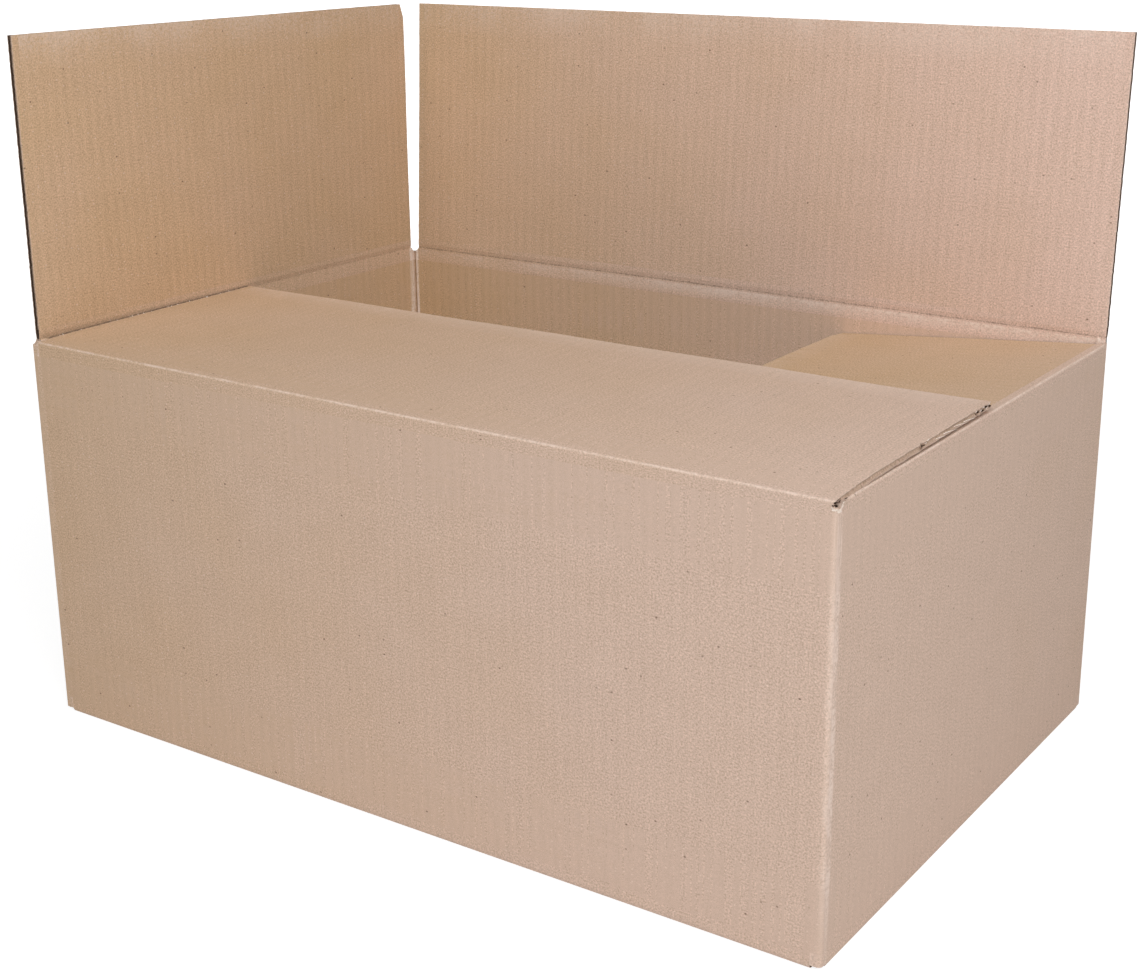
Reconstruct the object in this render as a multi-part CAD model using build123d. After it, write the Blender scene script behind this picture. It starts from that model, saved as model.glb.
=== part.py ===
from build123d import *
import math
import os

# Open corrugated carton, folded from one sheet of single-wall board.
# The long way of the box lies along X, the short way along Y, and the
# origin is the centre of the underside. All sizes are in millimetres.
# The front wall is at -Y, the back wall at +Y, the left wall at -X and
# the right wall at +X.

# Outside size of the folded box
box_length = 450.0
box_width = 300.0
crease_height = 202.8      # height of the top creases above the floor

# Corrugated board
board = 2.8                # thickness of the whole board
liner = 0.3                # each flat face sheet
medium = 0.25              # the wavy sheet between them
flute_pitch = 6.5          # from one flute to the next
flute_tip = 1.35           # narrow side of the hollow between two flutes

# Vertical corner folds
corner_radius = 3.5        # outside radius of a corner
inner_corner_radius = 0.8
roll_radius = 1.7          # rolls of crushed board beside each inner corner
roll_height = 0.7          # how far a roll stands out of the wall
roll_offset = 2.3          # from the inner corner to the middle of a roll

# Horizontal creases
fold_radius = 2.0          # outside radius of a folded flap
inner_fold_radius = 0.8
crushed_board = 2.0        # board left at the score line of an open flap
crush_run = 3.2            # from the score line to where the board is full
slot_depth = 2.9           # how far the corner slots run below the creases
slot_radius = 2.0          # rounded foot of a slot, beside each open flap
layer_gap = 0.3            # between one flap and the flap that it covers

# Flaps, four at the top and four at the bottom
seam_gap = 1.0             # between the free edges of two facing flaps
front_inset_left = 4.5     # from a corner of the box to the end of a flap
front_inset_right = 0.8
back_inset_left = 5.8
back_inset_right = 0.5
left_inset_front = 1.0
left_inset_back = 6.5
right_inset_front = 5.0
right_inset_back = 3.5
bottom_inset = 5.0
front_rise = 0.5           # degrees that the closed front flap slopes up
back_lean = 3.3            # degrees that the upright back flap leans out
right_dip = 5.2            # degrees that the folded right flap sags
left_clip_side = 2.8       # clipped back corner of the left flap
left_clip_end = 8.0
right_clip_side = 8.5      # clipped back corner of the right flap
right_clip_end = 3.0

# Fold at the foot of the two short walls, beside the long bottom flaps
heel_width = 2.6
heel_rise = 1.8

# Glued joint at the right back corner
lap_width = 35.0
lap_taper = 6.0            # how much lower the free edge of the lap is cut
lap_clearance = 3.0        # from the lap to the folds above and below it
raw_edge_gap = 1.2         # from the raw edge to the back of the box
lap_fold_radius = 2.0

# How far the section of a folded flap reaches along its wall
long_join = 9.0
short_join = 13.5

# Sizes that follow from those above
half_length = box_length / 2
half_width = box_width / 2
flap_length = (box_width - seam_gap) / 2
right_crease_height = crease_height - board - layer_gap
slot_floor = crease_height - slot_depth
inner_length = box_length - 2 * board
inner_width = box_width - 2 * board
lap_face = half_length - 2 * board
short_flap_floor = board + layer_gap
over = 1.0                 # extra reach of a cutting solid

# Where each open flap starts and ends along its wall
open_flap_ends = {
    "front": (front_inset_left - half_length, half_length - front_inset_right),
    "back": (back_inset_left - half_length, half_length - back_inset_right),
    "left": (left_inset_front - half_width, half_width - left_inset_back),
}


def box_between(low, high):
    """A block from one corner to the opposite one."""
    size = [b - a for a, b in zip(low, high)]
    return Pos(*low) * Box(*size, align=(Align.MIN, Align.MIN, Align.MIN))


def rectangle_between(low, high):
    """A flat rectangle from one corner to the opposite one."""
    size = [b - a for a, b in zip(low, high)]
    return Pos(*low) * Rectangle(*size, align=(Align.MIN, Align.MIN))


def rounded(outline, corner, radius):
    """Round the corner of an outline that lies at a given point."""
    place = Vector(*corner, 0)
    vertex = min(outline.vertices(), key=lambda v: (Vector(v) - place).length)
    return fillet(vertex, radius)


def flute_hollow(middle, upright):
    """The hollow of one flute, seen along the flutes."""
    height = board - 2 * liner - medium
    slope = math.atan2(height, flute_pitch / 2 - flute_tip)
    wide = flute_pitch - 2 * medium / math.sin(slope) - flute_tip
    bottom = liner if upright else board - liner
    top = bottom + (height if upright else -height)
    return [
        (middle - wide / 2, bottom),
        (middle + wide / 2, bottom),
        (middle + flute_tip / 2, top),
        (middle - flute_tip / 2, top),
    ]


def fluted_section(start, end):
    """Section of the board across its flutes, between two cut edges.

    The first coordinate runs along the crease, the second through the
    board from its outer face. A flute that the knife cuts is left open.
    """
    closed = []
    opened = []
    count = math.ceil((end - start) / flute_pitch) + 1
    first = (start + end) / 2 - flute_pitch * count / 2
    for step in range(2 * count + 1):
        middle = first + step * flute_pitch / 2
        hollow = flute_hollow(middle, step % 2 == 0)
        places = [point[0] for point in hollow]
        if min(places) > start + medium and max(places) < end - medium:
            closed.append(Wire.make_polygon([Vector(*p, 0) for p in hollow]))
        elif min(places) < end and max(places) > start:
            opened.append(hollow)
    outline = [(start, 0), (end, 0), (end, board), (start, board)]
    section = Sketch() + Face(
        Wire.make_polygon([Vector(*p, 0) for p in outline]), closed
    )
    for hollow in opened:
        section -= Polygon(*hollow, align=None)
    return section


def crease_section():
    """Foot of an open flap, from its score line to the full board.

    The first coordinate runs up the flap, the second through the board
    from its outer face. Two such feet meet as a mitre when it is shut.
    """
    return Polygon(
        (0, 0),
        (crushed_board, crushed_board),
        (crush_run, board),
        (2 * crush_run, board),
        (2 * crush_run, 0),
        align=None,
    )


def open_flap(start, end):
    """A flap that stands up along +Z from a score line along X.

    Its outer face is the plane Y = 0 and its inner face looks to +Y.
    """
    foot_plane = Plane(origin=(start, 0, 0), x_dir=(0, 0, 1), z_dir=(-1, 0, 0))
    foot = extrude(foot_plane * crease_section(), end - start, dir=(1, 0, 0))
    web_plane = Plane(
        origin=(0, 0, 2 * crush_run), x_dir=(1, 0, 0), z_dir=(0, 0, 1)
    )
    web = extrude(
        web_plane * fluted_section(start, end),
        flap_length - 2 * crush_run,
        dir=(0, 0, 1),
    )
    return foot + web


def clipped(flap, side, end_cut, corner_side):
    """Cut the corner of a flap that stands along +Z."""
    sign = 1 if corner_side > 0 else -1
    outline = Polygon(
        (corner_side + sign * over, flap_length + over),
        (corner_side - sign * side, flap_length + over),
        (corner_side - sign * side, flap_length),
        (corner_side, flap_length - end_cut),
        (corner_side + sign * over, flap_length - end_cut),
        align=None,
    )
    plane = Plane(origin=(0, -over, 0), x_dir=(1, 0, 0), z_dir=(0, -1, 0))
    return flap - extrude(plane * outline, board + 2 * over, dir=(0, 1, 0))


def inner_rolls():
    """Rolls of crushed board on both sides of the inner corners."""
    rolls = Sketch()
    depth = roll_radius - roll_height
    for x_side in (-1, 1):
        for y_side in (-1, 1):
            glued = x_side > 0 and y_side > 0
            corner_x = x_side * (lap_face if glued else inner_length / 2)
            corner_y = y_side * inner_width / 2
            along_x = Pos(
                corner_x - x_side * roll_offset, corner_y + y_side * depth
            )
            rolls += along_x * Circle(roll_radius)
            if not glued:
                along_y = Pos(
                    corner_x + x_side * depth, corner_y - y_side * roll_offset
                )
                rolls += along_y * Circle(roll_radius)
    return rolls


def joint_notch():
    """Groove outside the glued corner, where the raw edge meets the fold."""
    fold = half_length - board
    groove = rectangle_between(
        (fold - lap_fold_radius, half_width - lap_fold_radius),
        (fold, half_width),
    )
    bend = Pos(fold - lap_fold_radius, half_width - lap_fold_radius)
    groove -= bend * Circle(lap_fold_radius)
    raw = rectangle_between(
        (fold, half_width - raw_edge_gap), (half_length, half_width)
    )
    return groove + raw


def wall_plan():
    """The four walls seen from above."""
    outer = Rectangle(box_length, box_width)
    for corner in [(-1, -1), (1, -1), (-1, 1)]:
        place = (corner[0] * half_length, corner[1] * half_width)
        outer = rounded(outer, place, corner_radius)
    inner = RectangleRounded(inner_length, inner_width, inner_corner_radius)
    return outer - inner + inner_rolls() - joint_notch()


def along_wall(section, wall, start, end):
    """Run a section along a wall.

    The section's first coordinate goes inwards from the outer face of
    the wall and its second goes up. Start and end are X or Y places.
    """
    planes = {
        "front": ((start, -half_width, 0), (0, 1, 0)),
        "back": ((start, half_width, 0), (0, -1, 0)),
        "left": ((-half_length, start, 0), (1, 0, 0)),
        "right": ((half_length, start, 0), (-1, 0, 0)),
    }
    origin, inwards = planes[wall]
    along = (1, 0, 0) if wall in ("front", "back") else (0, 1, 0)
    normal = Vector(*inwards).cross(Vector(0, 0, 1))
    plane = Plane(origin=origin, x_dir=inwards, z_dir=normal)
    return extrude(plane * section, end - start, dir=along)


def folded_in(body, section, wall, start, end, low, high):
    """Put a folded section in place of a stretch of a wall."""
    depth = board + roll_height + over
    stretch = Polygon(
        (-over, low), (depth, low), (depth, high), (-over, high), align=None
    )
    body -= along_wall(stretch, wall, start, end)
    return body + along_wall(section, wall, start, end)


def crease_relief():
    """What the score takes off the inner edge of a wall at the crease."""
    return Polygon(
        (0, crease_height),
        (crushed_board, crease_height - crushed_board),
        (board, crease_height - crush_run),
        (board + roll_radius, crease_height - crush_run),
        (board + roll_radius, crease_height + over),
        (0, crease_height + over),
        align=None,
    )


def long_bottom_section():
    """Foot of a long wall with its bottom flap, which lies on the floor."""
    outline = Polygon(
        (0, long_join), (0, 0), (flap_length, 0), (flap_length, board),
        (board, board), (board, long_join), align=None,
    )
    outline = rounded(outline, (0, 0), fold_radius)
    return rounded(outline, (board, board), inner_fold_radius)


def short_bottom_section():
    """Foot of a short wall, whose bottom flap lies on the long ones."""
    low = short_flap_floor
    high = low + board
    outline = Polygon(
        (0, short_join), (0, 0), (heel_width, 0),
        (heel_width + heel_rise, low), (flap_length, low),
        (flap_length, high), (board, high), (board, short_join), align=None,
    )
    outline = rounded(outline, (0, 0), fold_radius)
    return rounded(outline, (board, high), inner_fold_radius)


def folded_flap_section():
    """Top of the right wall with its flap folded in and sagging."""
    join = right_crease_height - short_join
    dip = math.radians(right_dip)
    down = math.tan(dip)
    crest = right_crease_height + fold_radius * (1 / math.cos(dip) - 1 + down)
    end = (flap_length * math.cos(dip), crest - flap_length * math.sin(dip))
    below = (end[0] - board * math.sin(dip), end[1] - board * math.cos(dip))
    inner = (board, below[1] + (below[0] - board) * down)
    outline = Polygon(
        (0, join), (0, crest), end, below, inner, (board, join), align=None
    )
    outline = rounded(outline, (0, crest), fold_radius)
    return rounded(outline, inner, inner_fold_radius)


def glue_lap():
    """Lap of the back wall, glued inside the right wall."""
    corner = inner_width / 2
    low = short_flap_floor + board + lap_clearance
    high = right_crease_height - board - lap_clearance
    outline = Polygon(
        (corner, low), (corner, high),
        (corner - lap_width, high - lap_taper),
        (corner - lap_width, low + lap_taper), align=None,
    )
    plane = Plane(origin=(lap_face, 0, 0), x_dir=(0, 1, 0), z_dir=(1, 0, 0))
    return extrude(plane * outline, board, dir=(1, 0, 0))


def band_outline(start, end):
    """Edge of a wall between two slots, seen from outside.

    The first coordinate runs along the wall and the second goes up. Each
    end meets the floor of its slot in a quarter round.
    """
    outline = rectangle_between((start, slot_floor), (end, crease_height))
    for place, side in ((start, -1), (end, 1)):
        far = place + side * slot_radius
        outline += rectangle_between(
            (min(place, far), slot_floor),
            (max(place, far), slot_floor + slot_radius),
        )
        outline -= Pos(far, slot_floor + slot_radius) * Circle(slot_radius)
    return outline


def through_wall(outline, wall):
    """Run an outline, drawn on the outer face of a wall, in through it."""
    planes = {
        "front": ((0, -half_width, 0), (1, 0, 0), (0, 1, 0)),
        "back": ((0, half_width, 0), (1, 0, 0), (0, -1, 0)),
        "left": ((-half_length, 0, 0), (0, 1, 0), (1, 0, 0)),
    }
    origin, along, inwards = planes[wall]
    normal = Vector(*along).cross(Vector(0, 0, 1))
    plane = Plane(origin=origin, x_dir=along, z_dir=normal)
    return extrude(plane * outline, board + roll_height, dir=inwards)


def top_bands():
    """Edges of the walls above the slots, under the open flaps."""
    rim = extrude(
        Pos(0, 0, slot_floor) * wall_plan(),
        crease_height - slot_floor,
        dir=(0, 0, 1),
    )
    return [
        rim & through_wall(band_outline(start, end), wall)
        for wall, (start, end) in open_flap_ends.items()
    ]


def carton_body():
    """Walls, bottom flaps, glued joint and the folded right top flap."""
    body = extrude(
        Pos(0, 0, fold_radius) * wall_plan(),
        slot_floor - fold_radius,
        dir=(0, 0, 1),
    )
    for band in top_bands():
        body += band
    bottom_x = half_length - bottom_inset
    bottom_y = half_width - bottom_inset
    long_foot = long_bottom_section()
    for wall in ("front", "back"):
        body = folded_in(
            body, long_foot, wall, -bottom_x, bottom_x, -over, long_join
        )
    short_foot = short_bottom_section()
    for wall in ("left", "right"):
        body = folded_in(
            body, short_foot, wall, -bottom_y, bottom_y, -over, short_join
        )
    body = folded_in(
        body,
        folded_flap_section(),
        "right",
        right_inset_front - half_width,
        half_width - right_inset_back,
        right_crease_height - short_join,
        crease_height + over,
    )
    body -= right_flap_clip()
    body += glue_lap()
    for wall, (start, end) in open_flap_ends.items():
        body -= along_wall(crease_relief(), wall, start, end)
    return body


def right_flap_clip():
    """What is clipped off the back corner of the folded right flap."""
    end = half_width - right_inset_back
    free_x = half_length - flap_length * math.cos(math.radians(right_dip))
    clip = Polygon(
        (free_x - board, end + over / 2),
        (free_x - board, end - right_clip_side),
        (free_x, end - right_clip_side),
        (free_x + right_clip_end, end),
        (free_x + right_clip_end, end + over / 2),
        align=None,
    )
    reach = crease_height / 2
    return extrude(Pos(0, 0, reach) * clip, reach, dir=(0, 0, 1))


def front_top_flap():
    """The front flap, shut over the folded right flap."""
    flap = open_flap(*open_flap_ends["front"])
    turned = Rot(front_rise - 90, 0, 0) * flap
    return Pos(0, -half_width, crease_height) * turned


def back_top_flap():
    """The back flap, upright and leaning a little outwards."""
    flap = open_flap(
        back_inset_right - half_length, half_length - back_inset_left
    )
    turned = Rot(0, 0, 180) * Rot(back_lean, 0, 0) * flap
    return Pos(0, half_width, crease_height) * turned


def left_top_flap():
    """The left flap, upright, with its back corner clipped."""
    flap = open_flap(
        left_inset_back - half_width, half_width - left_inset_front
    )
    back_end = left_inset_back - half_width
    flap = clipped(flap, left_clip_side, left_clip_end, back_end)
    turned = Rot(0, 0, -90) * flap
    return Pos(-half_length, 0, crease_height) * turned


parts = {
    "carton_body": carton_body(),
    "front_top_flap": front_top_flap(),
    "back_top_flap": back_top_flap(),
    "left_top_flap": left_top_flap(),
}

os.makedirs("parts", exist_ok=True)
for name, shape in parts.items():
    export_step(shape, f"parts/{name}.step")
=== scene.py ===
import math

import bmesh
import bpy
import numpy as np
from mathutils import Matrix, Vector


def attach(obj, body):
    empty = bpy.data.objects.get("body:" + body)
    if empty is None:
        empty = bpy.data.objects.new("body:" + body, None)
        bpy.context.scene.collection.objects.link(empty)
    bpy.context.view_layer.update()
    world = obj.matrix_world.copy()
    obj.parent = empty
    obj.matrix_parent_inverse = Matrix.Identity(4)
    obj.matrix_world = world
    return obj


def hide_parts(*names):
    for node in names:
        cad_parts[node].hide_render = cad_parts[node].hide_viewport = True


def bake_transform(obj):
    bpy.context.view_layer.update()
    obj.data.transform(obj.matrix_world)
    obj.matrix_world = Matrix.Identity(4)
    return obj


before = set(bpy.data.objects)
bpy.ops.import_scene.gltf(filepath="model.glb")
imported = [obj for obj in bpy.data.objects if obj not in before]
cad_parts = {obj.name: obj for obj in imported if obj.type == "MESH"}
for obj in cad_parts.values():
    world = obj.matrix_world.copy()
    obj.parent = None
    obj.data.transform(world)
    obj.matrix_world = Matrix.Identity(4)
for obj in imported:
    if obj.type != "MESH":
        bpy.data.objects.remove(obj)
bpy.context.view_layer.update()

# Open corrugated carton. X runs along the box, Y from the front wall to the
# back wall, Z up. Places on the board are (along the crease, up the panel,
# depth from the outer face). All lengths are in metres, all turns in degrees.
mm = 0.001
generator = np.random.default_rng(7)

# Box
box_length = 450.0 * mm
box_width = 300.0 * mm
crease_height = 202.8 * mm
half_length = box_length / 2
half_width = box_width / 2
long_walls = ("front", "back")
# Walls whose top flap is folded in
folded_in = ("front", "right")

# Board: the whole, its flat face sheets and the wavy sheet between them
board = 2.8 * mm
liner = 0.3 * mm
medium = 0.25 * mm
flute_pitch = 6.5 * mm
columns_per_flute = 8
# How far the face sheets sink between two flute tips
outer_ripple = 0.02 * mm
inner_ripple = 0.06 * mm
# How far a flap waves out of its plane, and how long the waves are
panel_wave = 0.25 * mm
panel_wave_length = 140.0 * mm
# Finely divided strip at the ends of a board, and the open mouths of a fold
end_strip = 4.0 * mm
fold_mouth = 2.5 * mm

# Flaps
layer_gap = 0.3 * mm
seam_gap = 1.0 * mm
flap_length = (box_width - seam_gap) / 2
right_crease_height = crease_height - board - layer_gap
short_flap_floor = board + layer_gap
crease_of = {
    "front": crease_height,
    "back": crease_height,
    "left": crease_height,
    "right": right_crease_height,
}
# Degrees that each flap is turned inwards from upright
flap_turn = {"front": 89.5, "back": -3.3, "left": 0.0, "right": 95.2}
# Ends of the flaps, as places along their walls
flap_ends = {
    "front": (-half_length + 4.7 * mm, half_length - 0.8 * mm),
    "back": (-half_length + 5.8 * mm, half_length - 0.5 * mm),
    "left": (-half_width + 2.8 * mm, half_width - 6.5 * mm),
    "right": (-half_width + 5.0 * mm, half_width - 3.5 * mm),
}
bottom_inset = 5.0 * mm
# Clipped back corners: along the free edge and along the end
flap_clips = {"left": (2.8 * mm, 8.0 * mm), "right": (8.5 * mm, 3.0 * mm)}

# Folds, and where the walls stop and the folds take over
foot_fold_radius = 2.0 * mm
foot_fold_reach = 9.0 * mm
inner_fold_radius = 0.8 * mm
wall_foot = 8.0 * mm
crease_reach = 5.0 * mm
wall_top = right_crease_height - crease_reach
top_fold_radius = 1.0 * mm
# Bead outside the score line of an upright flap, and its half height
bead = 0.25 * mm
bead_rise = 0.8 * mm
# Board left at a score line, and from there to where the board is full
crushed_board = 2.45 * mm
crush_run = 2.4 * mm
wall_crush_run = 7.0 * mm
# Heel that a long bottom flap leaves at the foot of a short wall
heel_width = 2.6 * mm
heel_rise = 1.8 * mm
# How far from its crease the start of a crease's turn on the wall and its end on the flap lie
blend_reach = 2.0 * mm
# How far the front crease is pressed down at its two ends, and over what reach
front_press = (0.5 * mm, 2.0 * mm)
press_reach = 45.0 * mm

# Corners
corner_radius = 2.3 * mm
# How square the front left corner is: one is round, nought a right angle
sharp_corner = 0.3
roll_height = 0.7 * mm
# Crushed rolls beside an inner corner: half width and distance from it
long_wall_roll = (1.1 * mm, 1.5 * mm)
short_wall_roll = (2.5 * mm, 2.9 * mm)
# Depth of the corner slots at the left, at the right, and where one is torn
slot_depth = 2.9 * mm
deep_slot_depth = 4.1 * mm
torn_slot_depth = 5.9 * mm
# Rounded foot of a slot
slot_round_run = 5.6 * mm
slot_round_rise = 2.8 * mm

# Glued lap inside the right wall
lap_face = half_length - 2 * board
lap_width = 35.0 * mm
lap_taper = 6.0 * mm
lap_clearance = 3.0 * mm
lap_low = short_flap_floor + board + lap_clearance
lap_high = right_crease_height - board - lap_clearance

# Tears at the right end of the front flap: up the flap, width and depth
front_bites = (
    (77 * mm, 0.8 * mm, 1.0 * mm),
    (134 * mm, 0.7 * mm, 0.8 * mm),
    (141 * mm, 0.5 * mm, 0.6 * mm),
)
# Torn slivers there: up the flap, depth, length, width and lean outwards
front_scraps = (
    (82.0 * mm, 0.1 * mm, 1.8 * mm, 1.2 * mm, 0.6),
    (80.5 * mm, 0.9 * mm, 1.2 * mm, 0.8 * mm, 0.5),
    (91.0 * mm, 1.7 * mm, 6.0 * mm, 0.3 * mm, 0.05),
    (99.0 * mm, 1.5 * mm, 8.0 * mm, 0.35 * mm, 0.04),
    (110.0 * mm, 1.2 * mm, 7.0 * mm, 0.3 * mm, 0.05),
    (120.0 * mm, 1.6 * mm, 7.0 * mm, 0.3 * mm, 0.05),
    (132.0 * mm, 0.6 * mm, 1.6 * mm, 0.9 * mm, 0.5),
    (137.0 * mm, 1.4 * mm, 2.0 * mm, 0.9 * mm, 0.5),
    (140.0 * mm, 0.5 * mm, 1.5 * mm, 1.0 * mm, 0.7),
    (143.5 * mm, 1.8 * mm, 2.0 * mm, 0.8 * mm, 0.4),
    (145.5 * mm, 0.6 * mm, 1.8 * mm, 1.0 * mm, 0.6),
)
# Dark slivers of painted shade in the openings between them: up the flap, depth and length
front_shade_gaps = (
    (76.0 * mm, 0.8 * mm, 2.4 * mm),
    (133.0 * mm, 0.8 * mm, 1.8 * mm),
    (138.5 * mm, 1.3 * mm, 1.6 * mm),
    (142.0 * mm, 0.6 * mm, 1.4 * mm),
    (146.5 * mm, 1.2 * mm, 1.3 * mm),
)

# Wear of the paper, which in places also paints light and shade: one is rubbed pale, nought
# is whole, below nought is cracked, and the same values make painted highlights and painted
# shade
# The darkest value, which paints the shade in holes, fold mouths and gaps
painted_deep_shade = -2.0
rolled_wear = 2.6
corner_wear = 0.15
# Tone of the paper with painted light and shade: nought is warm and shaded, one is cool and
# lit. It grows along the box, as painted light from the right.
middle_tone_and_light = 0.7
painted_light_growth = 1.4
# Where each wall starts on the flat sheet, in whole flutes
sheet_start = {"front": 0, "right": 60, "back": 120, "left": 180}
# Finishes, in the order of the materials
# The last finish is dark board that paints the shade deep in cut ends, fold mouths, holes and
# gaps
OUTSIDE, INSIDE, CUT, CORE, TORN, PAINTED_SHADE = range(6)


def half_of(wall):
    """Half the length of a wall."""
    return half_length if wall in long_walls else half_width


def ridge(distance, width):
    """One at no distance, falling to nought over about a width and a half."""
    return np.exp(-((distance / width) ** 2))


def wander(a, v, size, seed):
    """Smooth random waves of about a given size over a panel, from -1 to 1."""
    pick = np.random.default_rng(seed)
    total = np.zeros(np.broadcast(a, v).shape)
    for _ in range(7):
        angle = pick.uniform(0, 2 * math.pi)
        step = 2 * math.pi / size * pick.uniform(0.6, 1.7)
        shift = pick.uniform(0, 2 * math.pi)
        total += np.sin(step * (a * math.cos(angle) + v * math.sin(angle)) + shift)
    return total / 4.5


def washboard(a, v, side):
    """How far a face sheet sinks between the flute tips that it is glued to."""
    depth = outer_ripple if side == 0 else inner_ripple
    shift = 0.0 if side == 0 else math.pi
    uneven = 0.75 + 0.35 * wander(a, v, 45 * mm, 11 + side)
    return depth * uneven * (0.5 - 0.5 * np.cos(2 * math.pi * a / flute_pitch + shift))


def corner_sink(wall, a):
    """How far the rounded outer corners lie inside the plane of a wall."""
    past = np.clip(np.abs(a) - (half_of(wall) - corner_radius), 0, corner_radius)
    return corner_radius - np.sqrt(corner_radius**2 - past**2)


def on_wall(wall, a, inwards, up):
    """Points of a wall from its own coordinates to those of the box."""
    a, inwards, up = np.broadcast_arrays(a, inwards, up)
    if wall == "front":
        return np.stack([a, inwards - half_width, up], -1)
    if wall == "back":
        return np.stack([a, half_width - inwards, up], -1)
    if wall == "left":
        return np.stack([inwards - half_length, a, up], -1)
    return np.stack([half_length - inwards, a, up], -1)


def pressed(wall, a, v):
    """How far the front crease and the flap beside it are pressed down."""
    if wall != "front":
        return 0.0
    share = np.clip((a + half_length) / box_length, 0, 1)
    deepest = front_press[0] + (front_press[1] - front_press[0]) * np.sqrt(share)
    return deepest * np.clip(1 - np.abs(v) / press_reach, 0, 1) ** 2


def on_flap(wall, a, v, depth):
    """Points of a top flap, v from its crease and a depth below its outer face."""
    turn = math.radians(flap_turn[wall])
    inwards = v * math.sin(turn) + depth * math.cos(turn)
    up = crease_of[wall] + v * math.cos(turn) - depth * math.sin(turn)
    return on_wall(wall, a, inwards, up - pressed(wall, a, v))


def places_between(start, end):
    """Places along a crease from end to end, several to each flute."""
    step = flute_pitch / columns_per_flute
    inner = np.arange(math.ceil(start / step + 0.3), math.floor(end / step - 0.3) + 1)
    return np.concatenate([[start], inner * step, [end]])


def close_places(start, end, step):
    """Evenly spaced places from end to end."""
    return np.linspace(start, end, math.ceil((end - start) / step) + 1)


class Piece:
    """Gathers the grids of one piece, each point with its place on the sheet."""

    def __init__(self, wall, painted_shade_warmth=0.0, far_painted_shade_warmth=0.0):
        self.sheet = sheet_start[wall] * flute_pitch
        self.painted_shade_warmth = painted_shade_warmth
        self.far_painted_shade_warmth = far_painted_shade_warmth
        self.points, self.places, self.worn_and_shaded = [], [], []
        self.faces, self.finishes = [], []
        self.count = 0

    def add(self, points, a, v, side, worn_and_shaded, finish, loop=False):
        """Add a grid of points with its faces, closed into rings if it loops."""
        rows, columns = points.shape[:2]
        index = np.arange(rows * columns).reshape(rows, columns) + self.count
        if loop:
            index = np.concatenate([index, index[:, :1]], 1)
        quads = np.stack(
            [index[:-1, :-1], index[:-1, 1:], index[1:, 1:], index[1:, :-1]], -1
        ).reshape(-1, 4)
        shape = (rows, columns)
        place = np.stack(
            [
                np.broadcast_to(a + self.sheet, shape),
                np.broadcast_to(v, shape),
                np.full(shape, 0.5 * side),
            ],
            -1,
        )
        self.points.append(points.reshape(-1, 3))
        self.places.append(place.reshape(-1, 3))
        self.worn_and_shaded.append(np.broadcast_to(worn_and_shaded, shape).reshape(-1))
        self.faces.append(quads)
        self.finishes.append(np.full(len(quads), finish))
        self.count += rows * columns

    def leaf(self, near, far, a, v, sides, worn_and_shaded, finishes):
        """A closed leaf between a near and a far grid of the same shape.

        sides, worn and finishes hold one value for each grid, worn giving wear and painted
        light and shade; the last finish is that of the rim.
        """
        self.add(near, a, v, sides[0], worn_and_shaded[0], finishes[0])
        self.add(far, a, v, sides[1], worn_and_shaded[1], finishes[1])
        a, v, rim_worn = np.broadcast_arrays(a, v, worn_and_shaded[0])
        for edge in (np.s_[0], np.s_[-1], np.s_[:, 0], np.s_[:, -1]):
            rim = np.stack([near[edge], far[edge]])
            self.add(rim, a[edge], v[edge], 1, rim_worn[edge], finishes[2])

    def build(self, name, materials):
        """Make the object: one welded mesh in the slot of the board."""
        points = np.concatenate(self.points)
        mesh = bpy.data.meshes.new(name)
        mesh.from_pydata(points.tolist(), [], np.concatenate(self.faces).tolist())
        finishes = np.concatenate(self.finishes).astype(np.int32)
        mesh.polygons.foreach_set("material_index", finishes)
        place = mesh.attributes.new("sheet_place", "FLOAT_VECTOR", "POINT")
        places = np.concatenate(self.places).astype(np.float32)
        place.data.foreach_set("vector", places.ravel())
        # Painted light and shade: the tone grows cooler and lighter to the right, warmer and
        # darker to the back, and warmer and darker by each piece's own warmth
        tone_and_light = painted_light_growth * points[:, 0] / box_length + middle_tone_and_light - self.painted_shade_warmth
        tone_and_light -= self.far_painted_shade_warmth * (points[:, 1] / box_width + 0.5)
        for label, values in (("worn_and_shaded", np.concatenate(self.worn_and_shaded)), ("cool_and_lit", tone_and_light)):
            attribute = mesh.attributes.new(label, "FLOAT", "POINT")
            attribute.data.foreach_set("value", values.astype(np.float32))
        shape = bmesh.new()
        shape.from_mesh(mesh)
        bmesh.ops.remove_doubles(shape, verts=shape.verts, dist=0.002 * mm)
        bmesh.ops.recalc_face_normals(shape, faces=shape.faces)
        shape.to_mesh(mesh)
        shape.free()
        mesh.polygons.foreach_set("use_smooth", [True] * len(mesh.polygons))
        mesh.set_sharp_from_angle(angle=math.radians(38))
        for material in materials:
            mesh.materials.append(material)
        piece = bpy.data.objects.new(name, mesh)
        bpy.context.scene.collection.objects.link(piece)
        return piece


def add_board(
    piece, place, start, end, low, high, rows, end_rows, ragged, seed,
    torn=0.0, bites=(), edge_wear=0.7,
):
    """Real corrugated board: two face sheets and the wavy sheet between them.

    place(a, v, depth) gives the points. low and high give the v of the two
    edges for each a. ragged is how far the knife strays at the edges, torn
    how far in the wavy sheet is bent over at the two ends, and bites the
    place, width and depth of what is torn out of the outer sheet's last end.
    """
    ends = (start, end, edge_wear)
    inner = (start + end_strip, end - end_strip)
    rest = (ends, low, high, ragged, seed, torn, bites)
    add_panel(piece, place, places_between(*inner), rows, CORE, *rest)
    # Without torn flutes the wavy sheet in the end strips is that dark board: painted shade
    # deep in the cut
    core = CORE if torn else PAINTED_SHADE
    for first, last in ((start, inner[0]), (inner[1], end)):
        strip = close_places(first, last, 0.33 * mm)
        add_panel(piece, place, strip, end_rows, core, *rest)


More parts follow.
